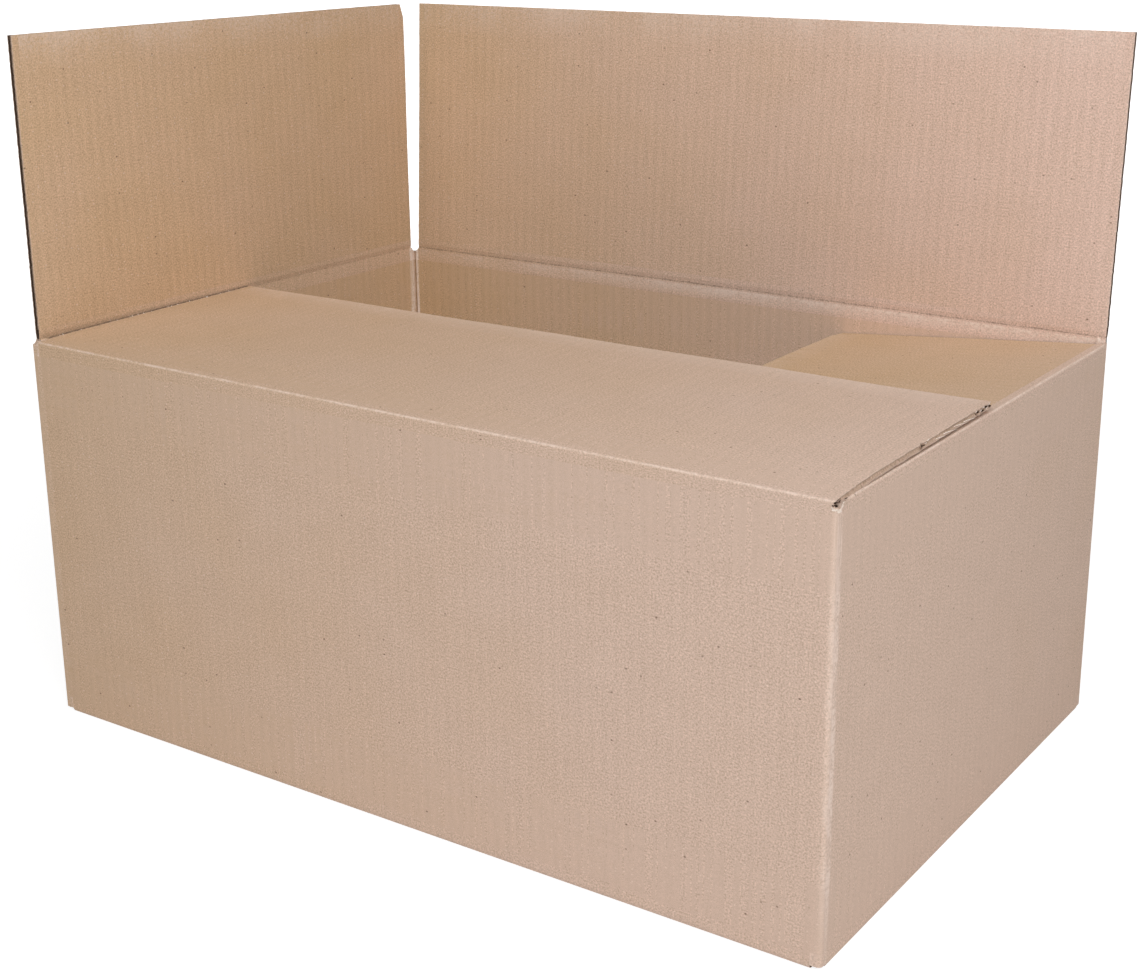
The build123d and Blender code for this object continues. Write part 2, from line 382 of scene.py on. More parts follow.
def add_panel(
    piece, place, a_line, rows, core, ends, low, high, ragged, seed, torn, bites
):
    """A stretch of corrugated board between two places along its crease."""
    start, end, edge_wear = ends
    share = np.linspace(0, 1, rows)[:, None]
    low_line, high_line = low(a_line), high(a_line)
    # The knife strays a little at the free edge and at both ends
    high_line = high_line + ragged * 0.5 * wander(a_line, 0 * a_line, 5 * mm, seed)
    v = low_line + (high_line - low_line) * share
    a = np.broadcast_to(a_line, v.shape).copy()
    near = np.minimum(a - start, end - a)
    stray = wander(v, 0 * v, 4 * mm, seed + 1) + 0.6 * wander(v, 0 * v, 1.5 * mm, seed + 3)
    a += ragged * stray * np.clip(1 - near / (1 * mm), 0, 1) ** 2
    # Away from its crease the board waves out of its plane
    swell = panel_wave * wander(a, v, panel_wave_length, seed + 2)
    swell = swell * np.clip((v - crease_reach) / (30 * mm), 0, 1)
    # Rubbed paper along the edges, and what is torn out of the last end
    rim = np.minimum(near, np.abs(high_line - v))
    worn_and_shaded = edge_wear * np.clip(1.2 - rim / (edge_wear * 1.2 * mm), 0, 1)
    lost = np.zeros(a.shape)
    for middle, width, depth in bites:
        edge = np.clip(1 - (end - a) / (3 * depth), 0, 1)
        lost += depth * edge * ridge(v - middle, width)
    bitten = a - lost
    outer = place(bitten, v, swell + washboard(a, v, 0))
    outer_back = place(bitten, v, swell + liner)
    inner = place(a, v, swell + board - washboard(a, v, 1))
    inner_back = place(a, v, swell + board - liner)
    piece.leaf(outer, outer_back, a, v, (0, 2), (worn_and_shaded, 0), (OUTSIDE, core, CUT))
    piece.leaf(inner, inner_back, a, v, (1, 2), (worn_and_shaded, 0), (INSIDE, core, CUT))
    # The wavy sheet, with rounder tips than a plain cosine
    swing = (board - 2 * liner - medium) / 2
    turn = np.cos(2 * math.pi * a / flute_pitch)
    turn = turn * (1.3 - 0.3 * turn**2)
    if torn:
        bent = np.clip(1 - near / torn, 0, 1)
        free = np.clip(near / torn - 1, 0, 1)
        turn = turn * free + (1 - 2 * bent) * (1 - free)
    wave = swell + board / 2 - swing * turn
    torn_back = a - 2.5 * lost
    near_face = place(torn_back, v, wave - medium / 2)
    far_face = place(torn_back, v, wave + medium / 2)
    piece.leaf(near_face, far_face, a, v, (2, 2), (0, 0), (core, core, CUT))


def arc(middle, radius, first, last, steps):
    """Points on an arc, angles in degrees from the inwards direction."""
    angles = np.radians(np.linspace(first, last, steps))
    return np.stack(
        [middle[0] + radius * np.cos(angles), middle[1] + radius * np.sin(angles)], -1
    )


def distance_along(path):
    """How far each point of a path lies from its start."""
    return np.concatenate([[0], np.cumsum(np.linalg.norm(np.diff(path, axis=0), axis=1))])


def spread(path, count):
    """The same path with a given number of points, evenly spaced."""
    run = distance_along(path)
    at = np.linspace(0, run[-1], count)
    return np.stack([np.interp(at, run, path[:, k]) for k in (0, 1)], -1)


def add_fold(piece, wall, ends, outer_path, inner_path, rows, wear_and_shade, base, turned_at):
    """A fold that follows two section paths along a wall.

    wear holds two functions that say how worn its outer and inner side are and where they are
    painted with light and shade, from how far past the turn and where along the wall. base is
    the place of its first row on the sheet, above nought at a top crease, and turned_at
    how far from there the board leaves the wall.
    """
    outer_path, inner_path = spread(outer_path, rows), spread(inner_path, rows)
    run = distance_along(outer_path)
    start, end = ends
    solid = (start + fold_mouth, end - fold_mouth)
    at_top = base > 0
    for first, last in ((start, solid[0]), solid, (solid[1], end)):
        closed = (first, last) == solid
        line = places_between(*solid) if closed else close_places(first, last, 0.4 * mm)
        v = np.broadcast_to((run + base)[:, None], (rows, len(line)))
        a = np.broadcast_to(line, v.shape)
        past = v - base - turned_at
        # Below its turn the fold follows the rounded corners of the walls
        sunk = corner_sink(wall, a) * np.clip(0.5 - past / (2 * mm), 0, 1)
        down, roll = 0.0, 0.0
        if at_top:
            rise = np.clip(1 + past / turned_at, 0, 1)
            down = pressed(wall, a, np.maximum(past, 0)) * rise * rise * (3 - 2 * rise)
            roll = roll_profile(half_of(wall) - board - np.abs(a), wall)
            roll = roll * np.clip(-past / (1 * mm), 0, 1)
        outer = on_wall(wall, a, outer_path[:, :1] + sunk, outer_path[:, 1:] - down)
        inner = on_wall(wall, a, inner_path[:, :1] + roll, inner_path[:, 1:] - down)
        if wall == "front" and at_top:
            inner = inner + (outer - inner) * crushed_end(past, end - a)[..., None]
        outer_worn = wear_and_shade[0](past, a)
        inner_worn_and_shaded = wear_and_shade[1](past, a) + rolled_wear * roll / roll_height
        if closed:
            worn_and_shaded = (outer_worn, inner_worn_and_shaded)
            piece.leaf(outer, inner, a, v, (0, 1), worn_and_shaded, (OUTSIDE, INSIDE, PAINTED_SHADE))
            continue
        # At its two open mouths the fold is a pair of face sheets, whose backs are dark board
        # painted with shade
        through = inner - outer
        sheet = through * liner / np.linalg.norm(through, axis=-1, keepdims=True)
        # Inside folded-in creases the backs of the mouths are painted darkest, as the shade
        # in them
        hidden = painted_deep_shade if wall in folded_in else 0.0
        finishes = (OUTSIDE, PAINTED_SHADE, CUT)
        piece.leaf(outer, outer + sheet, a, v, (0, 2), (outer_worn, hidden), finishes)
        finishes = (INSIDE, PAINTED_SHADE, CUT)
        piece.leaf(inner, inner - sheet, a, v, (1, 2), (inner_worn_and_shaded, hidden), finishes)


def crushed_end(past, from_end):
    """How far the right end of the front crease is squeezed, as a share."""
    most, reach = 0.7, 4.5 * mm
    along = np.clip(1 - from_end / reach, 0, 1)
    return most * along * np.clip(3.2 - np.abs(past + 0.5 * mm) / (1.6 * mm), 0, 1)


def top_crease_paths(wall):
    """Outer and inner section of a top crease, from the wall to the flap."""
    turn = math.radians(flap_turn[wall])
    height = crease_of[wall]
    along = np.array([math.sin(turn), math.cos(turn)])
    across = np.array([math.cos(turn), -math.sin(turn)])
    corner = np.array([0.0, height])
    reach = corner + crease_reach * along
    if wall in folded_in:
        radius = top_fold_radius
        centre = (radius, height - radius * math.tan(turn / 2))
        outer = [*arc(centre, radius, 180, 180 - flap_turn[wall], 9), reach]
        lead_in = crush_run
    else:
        outer = [
            corner - [0, 3 * mm],
            corner + [bead, -bead_rise],
            corner + [bead, bead_rise],
            corner + 3 * mm * along,
            reach,
        ]
        lead_in = wall_crush_run
    outer = np.array([[0.0, wall_top], *outer])
    halfway = np.array([0.0, 1.0]) + along
    halfway /= np.linalg.norm(halfway)
    inwards = np.array([halfway[1], -halfway[0]])
    inner = np.array(
        [
            [board, wall_top],
            [board, height - lead_in],
            corner + crushed_board * inwards,
            corner + crush_run * along + board * across,
            reach + board * across,
        ]
    )
    return outer, inner


def crease_wear_and_shade(wall):
    """How worn a top crease is outside and inside, with painted light and shade inside the
    back and the left crease, past its turn and along it.
    """
    strength, width = (0.9, 0.6 * mm) if wall in folded_in else (0.3, 0.3 * mm)

    def rubbed_outside(past, a):
        return strength * ridge(past, width)

    def plain_inside(past, a):
        return 0 * past

    def back_inside_light_and_shade(past, a):
        """A thin line of painted shade above a band of painted light on the rolled board,
        which is stronger to the right.
        """
        below = np.clip(-past / (0.8 * mm) - 1, 0, 1) * np.clip(1 + past / (7 * mm), 0, 1)
        below = below * np.clip(0.7 + 0.9 * a / box_length, 0.2, 1.0)
        return 1.5 * below - 0.62 * ridge(past, 0.7 * mm)

    def left_inside(past, a):
        """A thin crack, with painted shade that darkens it more just above the front flap
        where that lies.
        """
        v = a + half_width
        flap_top = v * math.cos(math.radians(flap_turn["front"]))
        flap_top = flap_top - front_press[0] * np.clip(1 - v / press_reach, 0, 1) ** 2
        beside_flap = a < -0.5 * mm
        middle = np.where(beside_flap, flap_top - 0.2 * mm, 0.0)
        return -np.where(beside_flap, 0.75, 0.45) * ridge(past - middle, 0.6 * mm)

    inside = {"back": back_inside_light_and_shade, "left": left_inside}.get(wall, plain_inside)
    return rubbed_outside, inside


def make_crease(wall, materials):
    """The scored fold between a wall and its top flap."""
    # Folded-in creases are warmer and darker: painted shade
    piece = Piece(wall, painted_shade_warmth=0.2 if wall in folded_in else 0.0)
    outer, inner = top_crease_paths(wall)
    rows = 41
    wear_and_shade = crease_wear_and_shade(wall)
    turned_at = crease_of[wall] - wall_top
    add_fold(piece, wall, flap_ends[wall], outer, inner, rows, wear_and_shade, wall_top, turned_at)
    return piece.build(f"{wall}_crease", materials)


def make_flap(wall, materials):
    """A top flap of real board, from its crease to its free edge."""
    # Flaps are warmer and darker than the walls, the right flap most: painted shade
    piece = Piece(wall, painted_shade_warmth={"front": 0.3, "right": 1.4}.get(wall, 0.2))
    start, end = flap_ends[wall]

    def free_edge(a):
        side, cut = flap_clips.get(wall, (1 * mm, 0.0))
        return flap_length - cut * np.clip((a - (end - side)) / side, 0, 1)

    add_board(
        piece,
        lambda a, v, depth: on_flap(wall, a, v, depth),
        start,
        end,
        lambda a: np.full(a.shape, crease_reach),
        free_edge,
        rows=9,
        end_rows=240 if wall == "front" else 120,
        ragged=0.25 * mm if wall == "front" else 0.12 * mm,
        seed={"front": 20, "back": 30, "left": 40, "right": 50}[wall],
        torn=1.1 * mm if wall == "front" else 0.0,
        bites=front_bites if wall == "front" else (),
        edge_wear=0.3 if wall == "right" else 0.5,
    )
    if wall == "front":
        add_flap_scraps(piece)
    return piece.build(f"{wall}_flap", materials)


def add_scrap(piece, root, along, lift, length, width, finish=TORN):
    """A torn sliver of face sheet that curls away from its root."""
    root, along, lift = Vector(root), Vector(along).normalized(), Vector(lift)
    lift = (lift - along * lift.dot(along)).normalized()
    side = along.cross(lift)
    thickness = 0.12 * mm
    # Shares of its length by which it draws in and rises, and of its width
    # by which it narrows towards the tip
    drawn, curl, narrowing = 0.25, 0.4, 0.7
    rows, across = 7, (-1, -0.3, 0.4, 1)
    near, far = [], []
    for t in np.linspace(0, 1, rows):
        middle = root + along * length * (t - drawn * t * t) + lift * length * curl * t * t
        half = width / 2 * (1 - narrowing * t) * generator.uniform(0.7, 1.2)
        line = [middle + side * half * k for k in across]
        near.append(line)
        far.append([point + lift * thickness for point in line])
    v = root.z + np.linspace(0, length, rows)[:, None] * np.ones(len(across))
    a = root.x + np.linspace(0, width, len(across)) * np.ones((rows, 1))
    # Dark slivers are painted darkest, as the shade in a gap
    worn_and_shaded = painted_deep_shade if finish == PAINTED_SHADE else 0.0
    near, far = np.array(near), np.array(far)
    piece.leaf(near, far, a, v, (0, 1), (worn_and_shaded, worn_and_shaded), (finish, finish, finish))


def add_flap_scraps(piece):
    """Torn bits of face sheet along both ends of the front flap, and dark slivers of painted
    shade between them at the right end.
    """
    start, end = flap_ends["front"]
    outwards, upwards = (1, 0, 0.3), (0, 0.2, 1)
    fuzz_count = 22
    for v, depth, length, width, lean in front_scraps:
        root = on_flap("front", end - 0.3 * mm, v, depth)
        tip = on_flap("front", end - 0.3 * mm + lean * length, v + length, depth)
        lift = outwards if lean < 0.3 else upwards
        add_scrap(piece, root, tip - root, lift, length, width)
    # Dark slivers that paint the shade in the openings
    for v, depth, length in front_shade_gaps:
        root = on_flap("front", end + 0.1 * mm, v, depth)
        tip = on_flap("front", end + 0.1 * mm, v + length, depth)
        add_scrap(piece, root, tip - root, outwards, length, 1.3 * mm, PAINTED_SHADE)
    for _ in range(fuzz_count):
        v = generator.uniform(8, 140) * mm
        root = on_flap("front", start + 0.4 * mm, v, 0.0)
        along = (-1, generator.uniform(-1.5, 1.5), 0.15)
        length, width = generator.uniform(0.7, 1.3) * mm, generator.uniform(0.3, 0.8) * mm
        add_scrap(piece, root, along, (0, 0, 1), length, width)


def slot_slivers():
    """Torn fibres of the slot at the front right corner, and dark slivers of painted shade
    for the gaps in them.

    Each has its place round the corner from the front wall, its height, its
    lean from upright, its length, its width and its finish.
    """
    fibre_count, shade_gap_count = 44, 9
    foot = 195.6 * mm
    for _ in range(fibre_count):
        place = generator.uniform(-0.2, 6.6) * mm
        up = foot + slot_rise(place, 6.3 * mm) + generator.uniform(0.0, 1.0) * mm
        size = generator.uniform(0.6, 1.6) * mm, generator.uniform(0.3, 0.9) * mm
        yield place, up, generator.uniform(-1.3, 1.3), *size, TORN
    for _ in range(shade_gap_count):
        place = generator.uniform(0.9, 3.3) * mm
        up = generator.uniform(198.3, 200.4) * mm
        yield place, up, generator.uniform(-1.2, 1.2), 1.2 * mm, 0.8 * mm, PAINTED_SHADE
    # A flake of cut board on the side of the right wall, over a gap painted as a dark sliver
    # of shade
    yield 6.6 * mm, 199.6 * mm, 1.35, 2.6 * mm, 1.1 * mm, CUT
    yield 7.4 * mm, 199.9 * mm, 1.1, 1.9 * mm, 0.8 * mm, PAINTED_SHADE


def add_slot_scraps(piece):
    """The slivers of the torn slot, set round the front right corner."""
    centre = Vector((half_length - corner_radius, corner_radius - half_width, 0.0))
    slivers = list(slot_slivers())
    for place, up, lean, length, width, finish in slivers:
        turn = min(max(place / corner_radius, 0), math.pi / 2)
        out = Vector((math.sin(turn), -math.cos(turn), 0))
        tangent = Vector((math.cos(turn), math.sin(turn), 0))
        root = centre + out * corner_radius + tangent * (place - turn * corner_radius)
        root.z = up
        along = tangent * math.sin(lean) + Vector((0, 0, 1)) * math.cos(lean)
        add_scrap(piece, root, along, out, length, width, finish)


def slot_rise(run, length):
    """How far the rounded foot of a slot lies above its lowest point."""
    side = np.clip(1 - np.minimum(run, length - run) / slot_round_run, 0, 1)
    return slot_round_rise * (1 - np.sqrt(1 - side**2))


def roll_profile(distance, wall):
    """How far the crushed rolls beside an inner corner stand out of the wall."""
    half, offset = long_wall_roll if wall in long_walls else short_wall_roll
    radius = (half**2 + roll_height**2) / (2 * roll_height)
    inside = np.clip(radius**2 - (distance - offset) ** 2, 0, None)
    return np.clip(np.sqrt(inside) - radius + roll_height, 0, None)


def corner_curve(angles, square):
    """Points of a quarter round of radius one, squarer the lower square is."""
    points = np.stack([np.cos(angles), np.sin(angles)], -1)
    return np.sign(points) * np.abs(points) ** square


def wall_columns(wall, direction):
    """The columns of one wall, from one rounded corner to the next.

    Gives for each column its outer and inner point in plan, its place on the
    sheet, and how worn the board is outside and inside, with painted highlight beside the
    front right corner.
    """
    fine_run, mid_height = 5 * mm, 100 * mm
    # Strips rubbed beside the corners: how far they reach and fade out. Beside the front
    # right corner the right wall's strip is strong, painted highlight on top of the rubbing.
    first_strip, first_fade = 3.6 * mm, 0.8 * mm
    last_strip = 1 * mm
    # Painted highlight: the right wall's strip beside the front right corner is much paler
    strength = 1.2 if wall == "right" else corner_wear
    flat = half_of(wall) - corner_radius
    coarse = places_between(-flat + fine_run, flat - fine_run)
    fine = close_places(flat - fine_run, flat, 0.25 * mm)[1:]
    places = np.concatenate([-fine[::-1], coarse, fine])[::direction]
    height = 0 * places + mid_height
    fade = np.clip((flat - np.abs(places)) / (6 * mm), 0, 1)
    roll = roll_profile(half_of(wall) - board - np.abs(places), wall)
    sunk = washboard(places, height, 0) * fade
    deep = board - washboard(places, height, 1) * fade + roll
    outer = on_wall(wall, places, sunk, 0.0)[:, :2]
    inner = on_wall(wall, places, deep, 0.0)[:, :2]
    along = sheet_start[wall] * flute_pitch + places
    first_edge = np.clip((first_strip - np.abs(places - places[0])) / first_fade, 0, 1)
    last_edge = np.clip(1 - np.abs(places - places[-1]) / last_strip, 0, 1)
    worn_and_shaded = strength * first_edge + corner_wear * last_edge
    return outer, inner, along, worn_and_shaded, rolled_wear * roll / roll_height


def corner_columns(wall, direction, place):
    """The columns of the outer corner that follows a wall, from a place on."""
    first, x_side, y_side = {
        "front": (-90, 1, -1),
        "right": (0, 1, 1),
        "back": (90, -1, 1),
        "left": (180, -1, -1),
    }[wall]
    angles = np.radians(np.linspace(first, first + 90, 9))[1:-1]
    sides = np.array([x_side, y_side])
    corner = sides * [half_length, half_width]
    square = sharp_corner if wall == "left" else 1.0
    middle = corner - sides * corner_radius
    outer = middle + corner_radius * corner_curve(angles, square)
    inner = np.repeat([corner - sides * board], len(angles), 0)
    along = place + direction * corner_radius * (angles - angles[0] + 0.2)
    # The front right corner grows paler towards the right wall: painted highlight on the
    # rubbing
    last_worn_and_lit = 0.9 if wall == "front" else corner_wear
    worn_and_shaded = np.linspace(corner_wear, last_worn_and_lit, len(angles))
    return outer, inner, along, worn_and_shaded, 0 * worn_and_shaded


def wall_ring():
    """The columns of the four walls and their corners as one closed ring.

    On its way round, the ring runs along the back and the left wall against
    their own direction.
    """
    ring = []
    for wall, direction in (("front", 1), ("right", 1), ("back", -1), ("left", -1)):
        ring.append(wall_columns(wall, direction))
        last_place = ring[-1][2][-1]
        ring.append(corner_columns(wall, direction, last_place))
    return [np.concatenate(values) for values in zip(*ring)]


def make_walls(materials):
    """The four walls as one closed ring, from the bottom folds to the creases."""
    # The walls grow warmer and darker towards the back: painted shade
    piece = Piece("front", far_painted_shade_warmth=0.4)
    outer, inner, along, worn_and_shaded, rolled = wall_ring()
    rows = 7
    levels = np.linspace(wall_foot, wall_top, rows)[:, None]
    shape = (rows, len(along))
    along = np.broadcast_to(along, shape)
    height = np.broadcast_to(levels, shape)
    faces = []
    for plan in (outer, inner):
        plan = np.broadcast_to(plan, (*shape, 2))
        faces.append(np.concatenate([plan, height[..., None]], -1))
    piece.add(faces[0], along, height, 0, worn_and_shaded, OUTSIDE, loop=True)
    piece.add(faces[1], along, height, 1, rolled, INSIDE, loop=True)
    for row in (0, -1):
        rim = np.stack([faces[0][row], faces[1][row]])
        piece.add(rim, along[:2], height[:2], 1, 0.0, CUT, loop=True)
    return piece.build("box_walls", materials)


def corner_rim(x_side, y_side, x_end, y_end):
    """Outer and inner line in plan round a corner, between two flap ends."""
    flat_x, flat_y = half_length - corner_radius, half_width - corner_radius
    square = sharp_corner if x_side < 0 and y_side < 0 else 1.0
    first = math.asin(min(max((x_end - flat_x) / corner_radius, 0), 1) ** (1 / square))
    last = math.acos(min(max((y_end - flat_y) / corner_radius, 0), 1) ** (1 / square))
    angles = math.pi / 2 - np.linspace(first, last, 9)
    outer = np.array([flat_x, flat_y]) + corner_radius * corner_curve(angles, square)
    if x_end < flat_x:
        outer = np.concatenate([[[x_end, half_width]], outer])
    if y_end < flat_y:
        outer = np.concatenate([outer, [[half_length, y_end]]])
    outer = spread(outer, 41)
    inner = np.minimum(outer, [half_length - board, half_width - board])
    gaps = [half_length - board, half_width - board] - inner
    inner[:, 1] -= roll_profile(gaps[:, 0], "back") * (gaps[:, 1] <= 0)
    inner[:, 0] -= roll_profile(gaps[:, 1], "left") * (gaps[:, 0] <= 0)
    signs = np.array([x_side, y_side])
    return outer * signs, inner * signs


def make_corners(materials):
    """The short stubs of wall between the flaps, at the slots and at the feet."""
    piece = Piece("front")
    # Sides of each corner in X and Y, and how far out the flaps beside it end
    corners = [
        (-1, -1, abs(flap_ends["front"][0]), abs(flap_ends["left"][0])),
        (1, -1, abs(flap_ends["front"][1]), abs(flap_ends["right"][0])),
        (1, 1, abs(flap_ends["back"][1]), abs(flap_ends["right"][1])),
        (-1, 1, abs(flap_ends["back"][0]), abs(flap_ends["left"][1])),
    ]
    for x_side, y_side, x_end, y_end in corners:
        outer, inner = corner_rim(x_side, y_side, x_end, y_end)
        depth = deep_slot_depth if x_side > 0 else slot_depth
        if x_side > 0 > y_side:
            depth = torn_slot_depth
        floor = crease_height - depth
        run = distance_along(outer)
        rise = slot_rise(run, run[-1])
        if x_side > 0:
            rise = np.minimum(rise, right_crease_height - floor)
        add_stub(piece, outer, inner, wall_top, floor + rise, 0.15 * mm)
        foot_x, foot_y = half_length - bottom_inset, half_width - bottom_inset
        outer, inner = corner_rim(x_side, y_side, foot_x, foot_y)
        add_stub(piece, outer, inner, wall_foot, foot_fold_radius, 0.1 * mm)
    add_slot_scraps(piece)
    return piece.build("box_corners", materials)


def add_stub(piece, outer, inner, near, far, ragged):
    """A stub of board round a corner from one height to another."""
    rows = 6
    count = len(outer)
    levels = near + (far - near) * np.linspace(0, 1, rows)[:, None] * np.ones(count)
    levels[-1] += ragged * generator.uniform(-1, 1, count)
    faces = [
        np.concatenate([np.broadcast_to(plan, (rows, count, 2)), levels[..., None]], -1)
        for plan in (outer, inner)
    ]
    deep = (half_length - np.abs(inner[:, 0]), half_width - np.abs(inner[:, 1]))
    worn_and_shaded = 0.3 + rolled_wear * (np.minimum(*deep) - board) / roll_height
    # At the torn slot the inside is painted darkest, as the shade of the hole
    at_torn_slot = inner[0, 0] > 0 > inner[0, 1]
    worn_and_shaded = (np.clip(worn_and_shaded, 0, 1), painted_deep_shade if at_torn_slot else worn_and_shaded)
    run = np.broadcast_to(distance_along(outer), levels.shape)
    piece.leaf(*faces, run, levels, (0, 1), worn_and_shaded, (OUTSIDE, INSIDE, CUT))


def make_bottom(wall, materials):
    """The foot of a wall with its bottom flap."""
    piece = Piece(wall)
    outside_flap = wall in long_walls
    floor = 0.0 if outside_flap else short_flap_floor
    reach = half_of(wall) - bottom_inset
    radius, inner_radius = foot_fold_radius, inner_fold_radius
    heel = [[heel_width, 0.0], [heel_width + heel_rise, floor]]
    outer = [
        [0.0, wall_foot],
        *arc((radius, radius), radius, 180, 270, 7),
        *([] if outside_flap else heel),
        [foot_fold_reach, floor],
    ]
    centre = (board + inner_radius, floor + board + inner_radius)
    inner = [
        [board, wall_foot],
        *arc(centre, inner_radius, 180, 270, 5),
        [foot_fold_reach, floor + board],
    ]
    outer, inner = np.array(outer), np.array(inner)
    wear_and_shade = (
        lambda past, a: 0.35 * ridge(past, 1.5 * mm),
        lambda past, a: 0 * past,
    )
    rows, first_row = 13, -20.0 * mm
    add_fold(piece, wall, (-reach, reach), outer, inner, rows, wear_and_shade, first_row, wall_foot)
    add_board(
        piece,
        lambda a, v, depth: on_wall(wall, a, v, floor + depth),
        -reach,
        reach,
        lambda a: np.full(a.shape, foot_fold_reach),
        lambda a: np.full(a.shape, flap_length),
        rows=3,
        end_rows=30,
        ragged=0.1 * mm,
        seed=70 if outside_flap else 80,
    )
    return piece.build(f"{wall}_bottom_flap", materials)


def make_lap(materials):
    """The tapered lap that is glued inside the right wall."""
    piece = Piece("right")
    corner = half_width - board

    def taper(a):
        return lap_taper * np.clip((corner - a) / lap_width, 0, 1)

    add_board(
        piece,
        lambda a, v, depth: np.stack(
            [np.broadcast_to(lap_face + board - depth, a.shape), a, v], -1
        ),
        corner - lap_width,
        corner,
        lambda a: lap_low + taper(a),
        lambda a: lap_high - taper(a),
        rows=3,
        end_rows=24,
        ragged=0.15 * mm,
        seed=90,
    )
    return piece.build("glue_lap", materials)


class Nodes:
    """Short ways to place and join nodes in one tree."""

    def __init__(self, tree):
        self.tree = tree

    def new(self, kind, **values):
        """A new node with its own settings."""
        node = self.tree.nodes.new(kind)
        for name, value in values.items():
            setattr(node, name, value)
        return node

    def link(self, source, target):
        """Join an output socket to an input socket."""
        self.tree.links.new(source, target)

    def set_or_link(self, socket, value):
        """Feed an input socket from another socket or with a constant."""
        if isinstance(value, bpy.types.NodeSocket):
            self.link(value, socket)
        else:
            socket.default_value = value

    def math(self, operation, *values, clamp=False):
        """One sum of numbers or sockets."""
        node = self.new("ShaderNodeMath", operation=operation, use_clamp=clamp)
        for socket, value in zip(node.inputs, values):
            self.set_or_link(socket, value)
        return node.outputs[0]

    def centred(self, value, factor):
        """A noise of 0 to 1 as one round zero, times a factor."""
        return self.math("MULTIPLY_ADD", value, factor, -factor / 2)

    def scaled(self, vector, factors):
        """A vector stretched by a factor in each direction."""
        node = self.new("ShaderNodeVectorMath", operation="MULTIPLY")
        self.link(vector, node.inputs[0])
        node.inputs[1].default_value = factors
        return node.outputs[0]

    def noise(self, vector, scale, detail=2.0, roughness=0.5):
        """Smooth noise of 0 to 1, scale waves to the metre."""
        node = self.new("ShaderNodeTexNoise")
        self.link(vector, node.inputs["Vector"])
        node.inputs["Scale"].default_value = scale
        node.inputs["Detail"].default_value = detail
        node.inputs["Roughness"].default_value = roughness
        return node.outputs["Fac"]

    def range(self, value, low, high, to_low=0.0, to_high=1.0):
        """A smooth step between two values of the input."""
        node = self.new("ShaderNodeMapRange", interpolation_type="SMOOTHSTEP")
        self.link(value, node.inputs["Value"])
        node.inputs["From Min"].default_value = low
        node.inputs["From Max"].default_value = high
        node.inputs["To Min"].default_value = to_low
        node.inputs["To Max"].default_value = to_high
        return node.outputs["Result"]

    def mix_colour(self, share, one, other, **settings):
        """A blend of two colours, all of the other at a share of one."""
        node = self.new("ShaderNodeMix", data_type="RGBA", **settings)
        self.set_or_link(node.inputs[0], share)
        self.set_or_link(node.inputs[6], one)
        self.set_or_link(node.inputs[7], other)
        return node.outputs[2]


def start_group(name, outputs, number=None):
    """A node group that takes the place on the sheet and perhaps one number.

    Gives its nodes, the sockets that feed it and the sockets that it puts out.
    """
    group = bpy.data.node_groups.new(name, "ShaderNodeTree")
    sockets = group.interface
    sockets.new_socket("Sheet Place", in_out="INPUT", socket_type="NodeSocketVector")
    if number:
        sockets.new_socket(number, in_out="INPUT", socket_type="NodeSocketFloat")
    for output in outputs:
        sockets.new_socket(output, in_out="OUTPUT", socket_type="NodeSocketFloat")
    n = Nodes(group)
    return n, n.new("NodeGroupInput").outputs, n.new("NodeGroupOutput").inputs


def make_fibre_group():
    """Fine fibres, cloudy formation and slow changes of tone of kraft paper."""
    n, given, result = start_group("kraft_fibres", ("Shade", "Tint", "Height"))
    place = given["Sheet Place"]
    grain = n.noise(place, 1150.0, detail=1.5, roughness=0.85)
    streaks = n.noise(n.scaled(place, (900.0, 130.0, 1.0)), 1.0, detail=1.0)
    clouds = n.noise(place, 60.0, detail=2.0, roughness=0.6)
    tint = n.noise(place, 17.0, detail=1.0)
    total = n.centred(grain, 1.0)
    total = n.math("ADD", total, n.centred(streaks, 0.06))
    total = n.math("ADD", total, n.centred(clouds, 0.08))
    n.link(total, result["Shade"])
    n.link(n.centred(tint, 0.6), result["Tint"])
    n.link(grain, result["Height"])
    return n.tree


def make_fleck_group():
    """Sparse dark shives and pale bits in the pulp, as two masks."""
    n, given, result = start_group("pulp_flecks", ("Dark", "Pale"))
    for name, scale, rarity, size in (("Dark", 190.0, 0.94, 0.1), ("Pale", 330.0, 0.6, 0.14)):
        stretched = n.scaled(given["Sheet Place"], (0.72, 1.0, 1.0))
        cells = n.new("ShaderNodeTexVoronoi", feature="F1", voronoi_dimensions="2D")
        n.link(stretched, cells.inputs["Vector"])
        cells.inputs["Scale"].default_value = scale
        chance = n.new("ShaderNodeSeparateColor")
        n.link(cells.outputs["Color"], chance.inputs[0])
        strength = n.range(chance.outputs[0], rarity, 1.0)
        spot = n.range(cells.outputs["Distance"], size, size * 0.5)
        n.link(n.math("MULTIPLY", spot, strength), result[name])
    return n.tree


